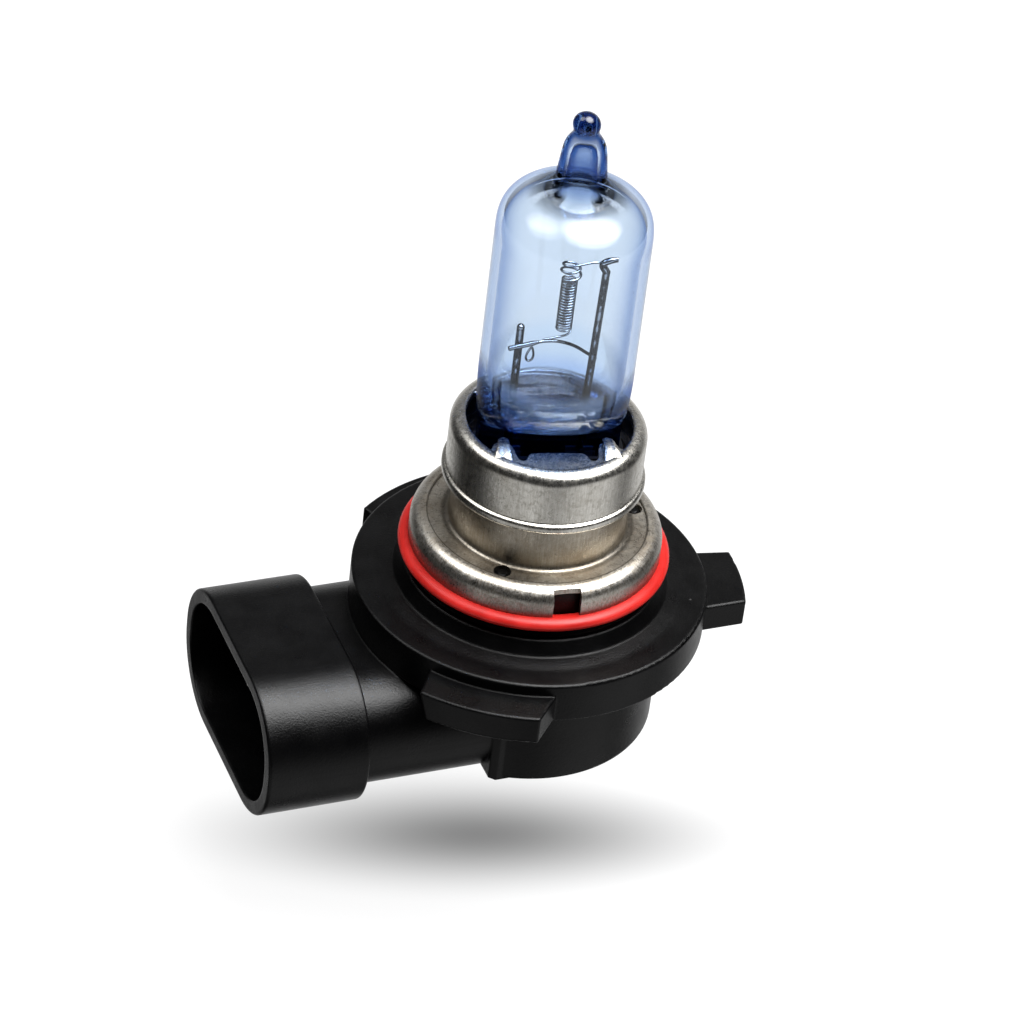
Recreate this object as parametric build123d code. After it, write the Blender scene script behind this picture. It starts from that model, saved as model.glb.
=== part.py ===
"""Halogen headlight bulb with a right-angle connector, as an assembly of separate pieces.

Frame: millimetres, +Z along the bulb's axis towards the glass tip, origin on that axis in the
plane of the plastic flange's seating face. The connector points along -X.
"""
from build123d import *
import os
from math import cos, radians, sin

os.makedirs("parts", exist_ok=True)

# ---- driving dimensions (mm) ----

# glass bulb
GLASS_R = 6.0
GLASS_WALL = 1.0
GLASS_FOOT = 21.0            # where the round tube starts to flatten into the pinch
DOME_TOP = 36.6
TIP_TOP = 43.2
PINCH_ANGLE = -13.0          # direction of the pinch's width, from +X
PINCH_WIDTH = 11.2
PINCH_THICK = 3.4
PINCH_TOP = 15.15
PINCH_BOTTOM = 5.0

# wires and foils inside the glass; u runs along the pinch's width
POST_R = 0.31
LONG_POST_U = 2.60
SHORT_POST_U = -3.15
POST_FOOT = 12.5
SHORT_POST_TOP = 24.3
FOIL_BOTTOM = 6.5
FOIL_WIDTH = 2.2
FOIL_THICK = 0.1
LEAD_R = 0.28
COIL_U = 0.14
COIL_R = 0.56                # to the middle of the coil's wire
COIL_WIRE_R = 0.085
COIL_PITCH = 0.25
COIL_BOTTOM = 23.85
COIL_TURNS = 19
OVERWIND_LOW_R = 0.82         # the coarse winding narrows towards its top
OVERWIND_HIGH_R = 0.60
OVERWIND_WIRE_R = 0.11
OVERWIND_BOTTOM = 28.78
OVERWIND_TOP = 30.18
OVERWIND_TURNS = 2.15
SLEEVE_R = 0.20
SLEEVE_LOW = 22.33
SLEEVE_HIGH = 23.00
SLEEVE_END_U = -1.70
CROSS_WIRE_R = 0.13
FRONT_V = -(POST_R + SLEEVE_R)      # the sleeve's line, touching the post's front
LOOP_HALF_HEIGHT = 0.66
LOOP_WIRE_R = 0.09
LOOP_MIDDLE = (-2.28, 21.86)   # u and height

# focus cup
CUP_R = 7.72
CUP_LIP_R = 8.0
CUP_BOTTOM = 9.9
CUP_LIP = 0.8                 # height of the rolled lip
CUP_TOP = 15.2
SHEET = 0.45

# base ring
NECK_R = 6.95
NECK_TOP = 12.0
PLATE_TOP = 5.65
STEP_R = 8.70
STEP_RISE = 0.2
RIM_R = 10.0
RIM_BOTTOM = 3.45
RIM_CORNER = 1.2
NOTCH_ANGLE = -96.5
NOTCH_WIDTH = 2.2
VENT_R = 0.70
VENT_CIRCLE = 7.9
VENT_ANGLES = (-131.0, -6.0, 114.0)
STUD_R = 0.42

# seal
SEAL_R = 9.97                 # to the middle of the section, squeezed to an oval
SEAL_HALF_WIDTH = 0.80
SEAL_HALF_HEIGHT = 0.55
SEAL_SEAT = RIM_BOTTOM - 2 * SEAL_HALF_HEIGHT
SEAT_R = 9.75

# plastic housing
FLANGE_R = 14.2
FLANGE_THICK = 3.5
COLLAR_R = SEAL_R - SEAL_HALF_WIDTH - 0.02
LEDGE_R = 10.24
LEDGE_TOP = 1.4
HUB_R = 11.0
HUB_BOTTOM = -12.3
CAVITY_R = 6.3
LUG_TOP = -1.0
LUG_BOTTOM = -3.4
LUGS = (                     # direction, outer radius, width, extra width at the root on either side
    (-124.5, 17.0, 9.6, 0.0, 1.05),
    (-10.5, 17.4, 6.4, 1.3, 0.0),
    (111.0, 15.6, 9.2, 0.0, 0.0),
)
LUG_ROOT = 10.5
RAMP_TOP = 0.1                # lead-in ramp under the first lug's end, at its top and bottom
RAMP_BOTTOM = 0.85
BLOCK_X = -5.8
BLOCK_Y = 9.9
CAP_R = 8.2
CAP_THICK = 1.4

# connector
PORT_Z = -8.4
SHROUD_MOUTH = -24.7
SHROUD_BACK = -16.4
SHROUD_HALF_WIDTH = 10.5
SHROUD_HALF_HEIGHT = 6.2
SHROUD_CORNER = 5.9
NECK_STEP = 1.15
PORT_WALL = 1.15
PORT_STEP = -17.2            # the socket narrows where the shroud meets the neck
PORT_FLOOR = -12.5
BLADE_TIP = -22.0
BLADE_WIDTH = 2.8
BLADE_THICK = 0.8
BLADE_SPACING = 6.0
RISER_WIDTH = 2.0
RISER_X = 2.4
RISER_TOP = 2.0
CARRIER_HALF_Y = 4.3
CARRIER_TOP = -6.5
CARRIER_BOTTOM = -10.4
CARRIER_END = 4.3


# ---- helpers ----

def lathe(points):
    """Solid of revolution about Z. Each point is (radius, height) or (radius, height, corner)."""
    places = [(p[0], 0, p[1]) for p in points]
    corners = [p[2] if len(p) > 2 else 0 for p in points]
    outline = FilletPolyline(*places, radius=corners, close=True)
    return revolve(make_face(outline), Axis.Z, 360)


def turned(shape, angle):
    """The shape turned about the bulb's axis."""
    return Rot(0, 0, angle) * shape


def in_pinch(shape):
    """A shape drawn with X along the pinch's width, put in its place."""
    return turned(shape, PINCH_ANGLE)


def box_between(low, high):
    """Box from its lowest to its highest corner."""
    size = [h - l for l, h in zip(low, high)]
    middle = [(h + l) / 2 for l, h in zip(low, high)]
    return Pos(*middle) * Box(*size)


def rod(start, end, radius):
    """Straight round wire between two points."""
    line = Line(start, end)
    return sweep(Plane(origin=start, z_dir=line % 0) * Circle(radius), path=line)


def bent_wire(points, radius, bend):
    """Round wire along straight runs joined by arcs."""
    path = FilletPolyline(*points, radius=bend)
    return sweep(Plane(origin=points[0], z_dir=path % 0) * Circle(radius), path=path)


def port_oval(inset, x_from, x_to):
    """Bar along X with the shroud's oval section, moved in from its outside by the inset."""
    section = RectangleRounded(2 * (SHROUD_HALF_WIDTH - inset), 2 * (SHROUD_HALF_HEIGHT - inset),
                               SHROUD_CORNER - inset)
    start = Plane(origin=(x_from, 0, PORT_Z), x_dir=(0, 1, 0), z_dir=(1, 0, 0))
    return extrude(start * section, x_to - x_from)


# ---- glass ----

def flattened_foot(radius, narrow_u, low_end):
    """Foot of a round tube: its thickness follows a circle down, its width only narrows a little."""
    levels = [0, 0.3, 0.55, 0.75, 0.9, 1.0]
    sections = []
    for level in levels:
        drop = level * (GLASS_FOOT - low_end)
        half_u = radius - (radius - narrow_u) * level ** 3
        half_v = (radius ** 2 - drop ** 2) ** 0.5
        sections.append(Plane.XY.offset(GLASS_FOOT - drop) * Ellipse(half_u, half_v))
    return loft(sections[::-1])


def glass_outside():
    """Tube, domed top and exhaust tip, then the foot that flattens into the pinch."""
    bulb = lathe([
        (0, GLASS_FOOT), (GLASS_R, GLASS_FOOT), (GLASS_R, DOME_TOP - 0.2, 4.1), (0, DOME_TOP + 0.1),
    ])
    tip = lathe([
        (0, DOME_TOP - 0.6), (2.9, DOME_TOP - 0.6), (2.9, DOME_TOP - 0.03), (1.95, DOME_TOP + 0.3, 0.7),
        (1.60, 40.9, 0.5), (1.0, 41.6, 0.2), (1.08, TIP_TOP, 1.0), (0, TIP_TOP),
    ])
    foot = flattened_foot(GLASS_R, PINCH_WIDTH / 2 + 0.1, PINCH_TOP)
    pinch = extrude(Plane.XY.offset(PINCH_BOTTOM) * RectangleRounded(PINCH_WIDTH, PINCH_THICK, 1.2),
                    PINCH_TOP + 0.5 - PINCH_BOTTOM)
    return bulb + tip + foot + pinch


def glass_inside():
    """Gas space: a round room whose floor narrows to a slot, and a short channel up into the tip."""
    room_r = GLASS_R - GLASS_WALL
    room = lathe([
        (0, GLASS_FOOT), (room_r, GLASS_FOOT), (room_r, DOME_TOP - 1.1, 3.3),
        (1.7, DOME_TOP - 0.8, 0.5), (0.85, 40.4, 0.4), (0, 40.6),
    ])
    return room + flattened_foot(room_r, 4.0, PINCH_TOP + 0.95)


def glass_envelope():
    body = in_pinch(glass_outside() - glass_inside())
    for metal in (long_lead_post(), short_lead_post(), foil(LONG_POST_U), foil(SHORT_POST_U),
                  outer_lead(LONG_POST_U, 1), outer_lead(SHORT_POST_U, -1)):
        body -= metal
    return body


# ---- metal inside the glass ----

def long_lead_post():
    """Tall post that leans out a little and hooks over the filament's upper leg."""
    points = [
        (LONG_POST_U, 0, POST_FOOT), (LONG_POST_U, 0, 17.0), (2.90, 0, 29.0), (2.55, 0, 30.0),
        (3.05, -0.05, 30.46), (3.6, -0.1, 30.5),
    ]
    return in_pinch(bent_wire(points, POST_R, (2.0, 0.5, 0.4, 0.2)))


def short_lead_post():
    """Short straight post with a rounded end."""
    stem = Cylinder(POST_R, SHORT_POST_TOP - POST_R - POST_FOOT, align=(Align.CENTER, Align.CENTER, Align.MIN))
    post = Pos(SHORT_POST_U, 0, POST_FOOT) * stem
    return in_pinch(post + Pos(SHORT_POST_U, 0, SHORT_POST_TOP - POST_R) * Sphere(POST_R))


def foil(u):
    """Thin foil that carries the current through the sealed pinch."""
    half = FOIL_WIDTH / 2
    return in_pinch(box_between((u - half, -FOIL_THICK / 2, FOIL_BOTTOM), (u + half, FOIL_THICK / 2, POST_FOOT)))


def outer_lead(u, side):
    """Wire from a foil, out of the pinch and across to the top of a terminal."""
    a = radians(PINCH_ANGLE)
    top = (u * cos(a), u * sin(a))
    foot = (side * RISER_X, -side * BLADE_SPACING / 2)
    points = [(*top, FOIL_BOTTOM), (*top, 4.1), (*foot, 3.0), (*foot, RISER_TOP)]
    return bent_wire(points, LEAD_R, 0.6)


def coil(radius, wire_r, pitch, turns, bottom):
    """Wire wound round the filament's axis."""
    path = Helix(pitch, pitch * turns, radius)
    wound = sweep(Plane(origin=path @ 0, z_dir=path % 0) * Circle(wire_r), path=path)
    return Pos(COIL_U, 0, bottom) * wound


def filament_coil():
    """Close-wound coil and its lower leg, which ends on the cross sleeve."""
    start = (COIL_U + COIL_R, 0, COIL_BOTTOM)
    weld = (SLEEVE_END_U + 0.25, FRONT_V, SLEEVE_HIGH + CROSS_WIRE_R + COIL_WIRE_R)
    leg = bent_wire([start, (0.1, -0.05, COIL_BOTTOM - 0.26), weld], COIL_WIRE_R, 0.3)
    joint = Pos(*start) * Sphere(COIL_WIRE_R * 1.3)
    return in_pinch(coil(COIL_R, COIL_WIRE_R, COIL_PITCH, COIL_TURNS, COIL_BOTTOM) + joint + leg)


def filament_overwind():
    """Coarse winding over the coil's top, which narrows upwards and runs on to the tall post."""
    steps = round(OVERWIND_TURNS * 10)
    points = []
    for step in range(steps + 1):
        share = step / steps
        angle = radians(-90 - 360 * OVERWIND_TURNS * (1 - share))
        r = OVERWIND_LOW_R + (OVERWIND_HIGH_R - OVERWIND_LOW_R) * share
        height = OVERWIND_BOTTOM + (OVERWIND_TOP - OVERWIND_BOTTOM) * share
        points.append((COIL_U + r * cos(angle), r * sin(angle), height))
    points += [(0.85, -0.50, 30.33), (1.5, -0.38, 30.44), (2.1, -0.22, 30.4), (2.4, -0.12, 30.3)]
    path = Spline(*points)
    return in_pinch(sweep(Plane(origin=path @ 0, z_dir=path % 0) * Circle(OVERWIND_WIRE_R), path=path))


def cross_sleeve():
    """Thick cross piece welded to the front of the short post."""
    start = (SHORT_POST_U - 0.83, FRONT_V, SLEEVE_LOW)
    return in_pinch(rod(start, (SLEEVE_END_U, FRONT_V, SLEEVE_HIGH), SLEEVE_R))


def cross_support_wire():
    """Thin wire from the sleeve's end that bows across and ends behind the tall post."""
    points = [(SLEEVE_END_U, FRONT_V, SLEEVE_HIGH), (0, -0.3, 22.84), (1.3, 0.15, 22.1),
              (3.2, 0.64, 20.6)]
    wire = bent_wire(points, CROSS_WIRE_R, (2.0, 3.0))
    sleeve_end = rod(points[0], (SLEEVE_END_U - 0.3, FRONT_V, SLEEVE_HIGH - 0.09), SLEEVE_R)
    return in_pinch(wire - sleeve_end)


def support_wire_loop():
    """Small oval loop that hangs under the cross sleeve."""
    ring = Ellipse(0.27, LOOP_HALF_HEIGHT).wire()
    section = Plane(origin=ring @ 0, z_dir=ring % 0) * Circle(LOOP_WIRE_R)
    loop = sweep(section, path=ring)
    return in_pinch(Pos(LOOP_MIDDLE[0], FRONT_V, LOOP_MIDDLE[1]) * Rot(90, 0, 0) * loop)


# ---- metal holders ----

def plate_opening():
    """Hole in the cup's top plate: a room for the pinch with tongues, notches and fingers."""
    side_room = Circle(6.75) & Rectangle(13.6, 7.0)
    middle = Rectangle(9.4, 4.6)
    tongue_gap = Rectangle(4.2, 8.6)
    opening = side_room - (Rectangle(9.4, 8.0) - middle) + tongue_gap
    for sign in (-1, 1):
        opening += Pos(sign * 2.72, 0) * RectangleRounded(0.86, 10.4, 0.3)
    return opening


def plate_fingers():
    """Four pressed fingers that rise from the plate towards the pinch."""
    fingers = []
    for turn in (0, 180):
        for sign in (-1, 1):
            start = (sign * 4.2, -5.15, CUP_TOP - 0.28)
            end = (sign * 3.95, -3.1, CUP_TOP + 0.15)
            spine = Line(start, end)
            wide = Plane(origin=start, x_dir=(1, 0, 0), z_dir=spine % 0) * RectangleRounded(0.85, 0.5, 0.2)
            narrow = Plane(origin=end, x_dir=(1, 0, 0), z_dir=spine % 0) * RectangleRounded(0.6, 0.4, 0.15)
            fingers.append(turned(loft([wide, narrow]), turn))
    return fingers


def focus_cup():
    """Drawn cup with a stamped top plate and a beaded lower lip."""
    shell = lathe([
        (CUP_LIP_R, CUP_BOTTOM, 0.3), (CUP_LIP_R, CUP_BOTTOM + CUP_LIP, 0.25),
        (CUP_R, CUP_BOTTOM + CUP_LIP), (CUP_R, CUP_TOP, 1.0), (4.0, CUP_TOP - 0.25),
        (0, CUP_TOP - 0.25), (0, CUP_TOP - 0.25 - SHEET), (4.0, CUP_TOP - 0.25 - SHEET),
        (CUP_R - SHEET, CUP_TOP - SHEET, 0.55), (CUP_R - SHEET, CUP_BOTTOM),
    ])
    cutter = extrude(Plane.XY.offset(CUP_TOP - 2) * plate_opening(), 3)
    cup = shell - cutter
    for finger in plate_fingers():
        cup += finger
    return in_pinch(cup)


def pinch_clip():
    """Sheet collar round the pinch, with a round flange that fits the base ring's neck."""
    wall = 0.35
    outer = extrude(Plane.XY.offset(6.0) * RectangleRounded(PINCH_WIDTH + 2 * wall, PINCH_THICK + 2 * wall, 1.5), 6.8)
    flange = Pos(0, 0, 6.0 + wall / 2) * Cylinder(NECK_R - SHEET, wall)
    inner = extrude(Plane.XY.offset(5.5) * RectangleRounded(PINCH_WIDTH, PINCH_THICK, 1.2), 8)
    return in_pinch(outer + flange - inner)


def base_ring():
    """Drawn ring: neck with a turned-out top, stepped plate and rolled rim."""
    inside = NECK_R - SHEET
    high = PLATE_TOP + STEP_RISE
    ring = lathe([
        (inside, NECK_TOP), (inside, PLATE_TOP - SHEET, 0.3), (STEP_R, PLATE_TOP - SHEET),
        (STEP_R + 0.15, high - SHEET), (RIM_R - SHEET, high - SHEET, 0.6), (RIM_R - SHEET, RIM_BOTTOM),
        (RIM_R, RIM_BOTTOM), (RIM_R, high, RIM_CORNER), (STEP_R, high), (STEP_R, PLATE_TOP),
        (NECK_R, PLATE_TOP, 0.5), (NECK_R, NECK_TOP - SHEET), (CUP_R - SHEET, NECK_TOP - SHEET),
        (CUP_R - SHEET, NECK_TOP),
    ])
    notch = box_between((9.35, -NOTCH_WIDTH / 2, RIM_BOTTOM - 1), (RIM_R + 1, NOTCH_WIDTH / 2, high + 1))
    ring -= turned(notch, NOTCH_ANGLE)
    for angle in VENT_ANGLES:
        ring -= turned(Pos(VENT_CIRCLE, 0, PLATE_TOP) * Cylinder(VENT_R, 3), angle)
    return ring


def o_ring():
    """Seal squeezed between the housing's seat and the ring's rim."""
    section = Pos(SEAL_R, SEAL_SEAT + SEAL_HALF_HEIGHT) * Ellipse(SEAL_HALF_WIDTH, SEAL_HALF_HEIGHT)
    return revolve(Plane.XZ * section, Axis.Z, 360)


# ---- plastic housing ----

def lug_bar(outer_r, width, low_flare, high_flare):
    """Bar along X with a round end, widening a little towards its root."""
    half = width / 2
    plan = Polyline((LUG_ROOT, -half - low_flare), (outer_r, -half), (20, -half), (20, half),
                    (outer_r, half), (LUG_ROOT, half + high_flare), close=True)
    bar = extrude(Plane.XY.offset(LUG_BOTTOM) * make_face(plan), LUG_TOP - LUG_BOTTOM)
    reach = extrude(Plane.XY.offset(LUG_BOTTOM) * Circle(outer_r), LUG_TOP - LUG_BOTTOM)
    return bar & reach


def lead_in(half):
    """Material taken off under one end of a lug, so that it rides up as the bulb is turned."""
    section = Polyline((-half - 2, LUG_BOTTOM), (-half + RAMP_BOTTOM, LUG_BOTTOM), (-half + RAMP_TOP, LUG_TOP),
                       (-half - 2, LUG_TOP), close=True)
    return extrude(Plane.YZ.offset(LUG_ROOT - 1) * make_face(section), 12)


def lug(angle, outer_r, width, low_flare, high_flare, ramp):
    """Locking lug with softened edges, turned to its direction."""
    bar = lug_bar(outer_r, width, low_flare, high_flare)
    if ramp:
        bar -= lead_in(width / 2)
    outer = bar.edges().filter_by_position(Axis.X, 11.5, 20)
    return turned(fillet(outer, 0.18), angle)


def housing_body():
    """Flange with its stepped top, collar for the seal, and the round hub below."""
    return lathe([
        (0, HUB_BOTTOM), (HUB_R, HUB_BOTTOM, 0.4), (HUB_R, -FLANGE_THICK),
        (FLANGE_R, -FLANGE_THICK, 0.25), (FLANGE_R, 0, 0.22), (12.3, 0, 2.5), (10.96, 0.22),
        (10.75, 0.55, 0.2), (LEDGE_R, LEDGE_TOP, 0.12), (SEAT_R, LEDGE_TOP), (SEAT_R, SEAL_SEAT),
        (COLLAR_R, SEAL_SEAT), (COLLAR_R, PLATE_TOP - SHEET), (0, PLATE_TOP - SHEET),
    ])


def connector():
    """Neck and shroud, still solid."""
    neck = port_oval(NECK_STEP, SHROUD_BACK - 0.5, BLOCK_X + 0.5)
    shroud = port_oval(0, SHROUD_MOUTH, SHROUD_BACK)
    ends = shroud.edges().filter_by(Plane.YZ)
    return neck + fillet(ends, 0.2)


def corner_block():
    """Squared corners where the neck meets the hub."""
    block = box_between((BLOCK_X, -BLOCK_Y, HUB_BOTTOM), (0, BLOCK_Y, -FLANGE_THICK))
    upright = block.edges().filter_by(Axis.Z).sort_by(Axis.X)[:2]
    return chamfer(upright, 0.45)


def base_housing():
    left_of_block = box_between((-HUB_R - 1, -HUB_R - 1, HUB_BOTTOM - 1), (BLOCK_X, HUB_R + 1, -FLANGE_THICK))
    body = housing_body() - left_of_block + corner_block() + connector()
    for number, shape in enumerate(LUGS):
        body += lug(*shape, ramp=number == 0)
    body -= Pos(0, 0, (HUB_BOTTOM + PLATE_TOP) / 2) * Cylinder(CAVITY_R, PLATE_TOP - HUB_BOTTOM + 2)
    body -= Pos(0, 0, HUB_BOTTOM) * Cylinder(CAP_R, 2 * CAP_THICK)
    body -= box_between((PORT_FLOOR - 1, -CARRIER_HALF_Y, CARRIER_BOTTOM), (0, CARRIER_HALF_Y, CARRIER_TOP))
    body -= port_oval(PORT_WALL, SHROUD_MOUTH - 1, PORT_STEP)
    body -= port_oval(PORT_WALL + NECK_STEP, PORT_STEP - 1, PORT_FLOOR)
    for angle in VENT_ANGLES:
        stud = Pos(VENT_CIRCLE, 0, PLATE_TOP - SHEET) * Cylinder(STUD_R, 0.7)
        body += turned(stud, angle)
    return body


def terminal(side):
    """L-shaped blade: a flat bar out to the socket and a riser up to the lead."""
    y = -side * BLADE_SPACING / 2
    low_y, high_y = y - BLADE_THICK / 2, y + BLADE_THICK / 2
    inner_end = side * RISER_X + RISER_WIDTH / 2
    bar = box_between((BLADE_TIP, low_y, PORT_Z - BLADE_WIDTH / 2), (inner_end, high_y, PORT_Z + BLADE_WIDTH / 2))
    riser = box_between((side * RISER_X - RISER_WIDTH / 2, low_y, PORT_Z), (inner_end, high_y, RISER_TOP))
    tip = bar.faces().sort_by(Axis.X)[0].edges()
    return chamfer(tip, 0.25) + riser


def terminal_carrier():
    """Moulded insert that holds both blades apart and closes the back of the socket."""
    block = box_between((PORT_FLOOR, -CARRIER_HALF_Y, CARRIER_BOTTOM), (CARRIER_END, CARRIER_HALF_Y, CARRIER_TOP))
    return block - terminal(1) - terminal(-1)


def potting_seal():
    """Sealing compound that fills the hub above the carrier."""
    pool = box_between((-9, -9, CARRIER_TOP), (9, 9, -3.6)) & Cylinder(CAVITY_R, 40)
    return pool - terminal(1) - terminal(-1)


def rear_cap():
    """Plug pressed flush into the hub's underside, with a shallow round dish."""
    disc = Pos(0, 0, HUB_BOTTOM + CAP_THICK / 2) * Cylinder(CAP_R, CAP_THICK)
    dish = Pos(0, 0, HUB_BOTTOM + 0.25) * Cylinder(5.6, 0.5)
    return disc - dish


PIECES = {
    "glass_envelope": glass_envelope(),
    "long_lead_post": long_lead_post(),
    "short_lead_post": short_lead_post(),
    "filament_coil": filament_coil(),
    "filament_overwind": filament_overwind(),
    "cross_sleeve": cross_sleeve(),
    "cross_support_wire": cross_support_wire(),
    "support_wire_loop": support_wire_loop(),
    "long_foil": foil(LONG_POST_U),
    "short_foil": foil(SHORT_POST_U),
    "long_outer_lead": outer_lead(LONG_POST_U, 1),
    "short_outer_lead": outer_lead(SHORT_POST_U, -1),
    "focus_cup": focus_cup(),
    "pinch_clip": pinch_clip(),
    "base_ring": base_ring(),
    "o_ring": o_ring(),
    "base_housing": base_housing(),
    "long_terminal": terminal(1),
    "short_terminal": terminal(-1),
    "terminal_carrier": terminal_carrier(),
    "potting_seal": potting_seal(),
    "rear_cap": rear_cap(),
}

for name, piece in PIECES.items():
    export_step(piece, f"parts/{name}.step")
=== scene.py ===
"""Halogen headlight bulb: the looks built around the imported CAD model. Metres, +Z towards the glass tip."""

import math

import bmesh
import bpy
from mathutils import Matrix, Vector

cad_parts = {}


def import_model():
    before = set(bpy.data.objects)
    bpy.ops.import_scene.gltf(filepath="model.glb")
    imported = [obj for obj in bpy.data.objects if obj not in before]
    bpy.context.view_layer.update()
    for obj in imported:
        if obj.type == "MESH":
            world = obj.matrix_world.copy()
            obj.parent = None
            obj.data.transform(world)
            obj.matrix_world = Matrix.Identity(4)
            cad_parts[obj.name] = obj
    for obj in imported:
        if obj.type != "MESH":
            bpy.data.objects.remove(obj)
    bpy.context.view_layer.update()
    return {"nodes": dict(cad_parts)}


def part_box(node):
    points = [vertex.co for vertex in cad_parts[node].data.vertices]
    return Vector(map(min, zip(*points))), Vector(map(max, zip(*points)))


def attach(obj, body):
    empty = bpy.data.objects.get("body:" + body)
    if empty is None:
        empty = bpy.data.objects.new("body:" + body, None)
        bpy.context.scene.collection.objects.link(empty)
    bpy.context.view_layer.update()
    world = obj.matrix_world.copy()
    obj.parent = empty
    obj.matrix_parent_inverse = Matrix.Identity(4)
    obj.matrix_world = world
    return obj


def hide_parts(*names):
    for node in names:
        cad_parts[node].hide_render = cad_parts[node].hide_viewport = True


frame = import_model()

MM = 0.001
PINCH = math.radians(-13.0)          # direction of the glass pinch's width, from +X
PINCH_FRAME = Matrix.Rotation(PINCH, 4, "Z")


# ---------------------------------------------------------------- mesh helpers

def new_object(name, verts, faces, material):
    """A mesh object from points in millimetres, riding on the bulb."""
    mesh = bpy.data.meshes.new(name)
    mesh.from_pydata([tuple(c * MM for c in v) for v in verts], [], faces)
    bm = bmesh.new()
    bm.from_mesh(mesh)
    bmesh.ops.remove_doubles(bm, verts=bm.verts, dist=1e-7)
    bmesh.ops.recalc_face_normals(bm, faces=bm.faces)
    bm.to_mesh(mesh)
    bm.free()
    for p in mesh.polygons:
        p.use_smooth = True
    obj = bpy.data.objects.new(name, mesh)
    bpy.context.scene.collection.objects.link(obj)
    obj.data.materials.append(material)
    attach(obj, "root")
    return obj


def in_pinch(points):
    """Points drawn with X along the pinch's width, put in the row frame."""
    return [tuple(PINCH_FRAME @ Vector(p)) for p in points]


def rings_to_mesh(rings, closed_ends=True, ring_closed=False):
    """Vertices and faces that join equal rings of points; the ends are closed with a fan."""
    n = len(rings[0])
    verts = [p for ring in rings for p in ring]
    faces = []
    count = len(rings)
    for i in range(count if ring_closed else count - 1):
        j = (i + 1) % count
        for k in range(n):
            m = (k + 1) % n
            faces.append((i * n + k, i * n + m, j * n + m, j * n + k))
    if closed_ends and not ring_closed:
        for ring_index, ring in ((0, rings[0]), (count - 1, rings[-1])):
            centre = tuple(sum(p[a] for p in ring) / n for a in range(3))
            verts.append(centre)
            c = len(verts) - 1
            base = ring_index * n
            for k in range(n):
                faces.append((c, base + k, base + (k + 1) % n))
    return verts, faces


def between(p0, p1, p2, p3, t):
    """Catmull-Rom point between p1 and p2."""
    return 0.5 * ((2 * p1) + (p2 - p0) * t + (2 * p0 - 5 * p1 + 4 * p2 - p3) * t * t
                  + (3 * p1 - p0 - 3 * p2 + p3) * t ** 3)


def smooth_path(points, per_span):
    """Catmull-Rom points through the given ones."""
    pts = [Vector(p) for p in points]
    ext = [2 * pts[0] - pts[1]] + pts + [2 * pts[-1] - pts[-2]]
    out = []
    for i in range(1, len(ext) - 2):
        p0, p1, p2, p3 = ext[i - 1:i + 3]
        for s in range(per_span):
            out.append(between(p0, p1, p2, p3, s / per_span))
    out.append(pts[-1])
    return out


def tube(path, section, sides, closed=False):
    """Rings round a path. section(share) gives (half width, half height, twist) along it."""
    path = [Vector(p) for p in path]
    count = len(path)
    tangents = []
    for i in range(count):
        a = path[(i - 1) % count] if closed or i > 0 else path[i]
        b = path[(i + 1) % count] if closed or i < count - 1 else path[i]
        tangents.append((b - a).normalized())
    side = tangents[0].orthogonal().normalized()
    rings = []
    for i, (p, t) in enumerate(zip(path, tangents)):
        side = (side - side.dot(t) * t).normalized()
        up = t.cross(side)
        a, b, twist = section(i / max(count - 1, 1))
        ring = []
        for k in range(sides):
            angle = 2 * math.pi * k / sides
            x, y = a * math.cos(angle), b * math.sin(angle)
            c, s = math.cos(twist), math.sin(twist)
            ring.append(tuple(p + side * (x * c - y * s) + up * (x * s + y * c)))
        rings.append(ring)
    return rings_to_mesh(rings, not closed, closed)


def round_wire(name, path, radius, material, sides):
    """Wire with softly rounded ends, drawn in the pinch's frame."""
    pts = in_pinch(path)

    def section(share):
        edge = min(share, 1 - share) * (len(pts) - 1)
        r = radius * (0.55 + 0.45 * min(1.0, edge / 1.5))
        return r, r, 0
    return new_object(name, *tube(pts, section, sides), material)


def lathe_rings(profile, sides):
    """Rings of a solid of revolution from (radius, height) points."""
    rings = []
    for r, z in profile:
        rings.append([(r * math.cos(2 * math.pi * k / sides), r * math.sin(2 * math.pi * k / sides), z)
                      for k in range(sides)])
    return rings


def stand_for(node):
    """The object takes the place of a CAD node in the picture."""
    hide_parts(node)


# ---------------------------------------------------------------- node helpers

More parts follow.
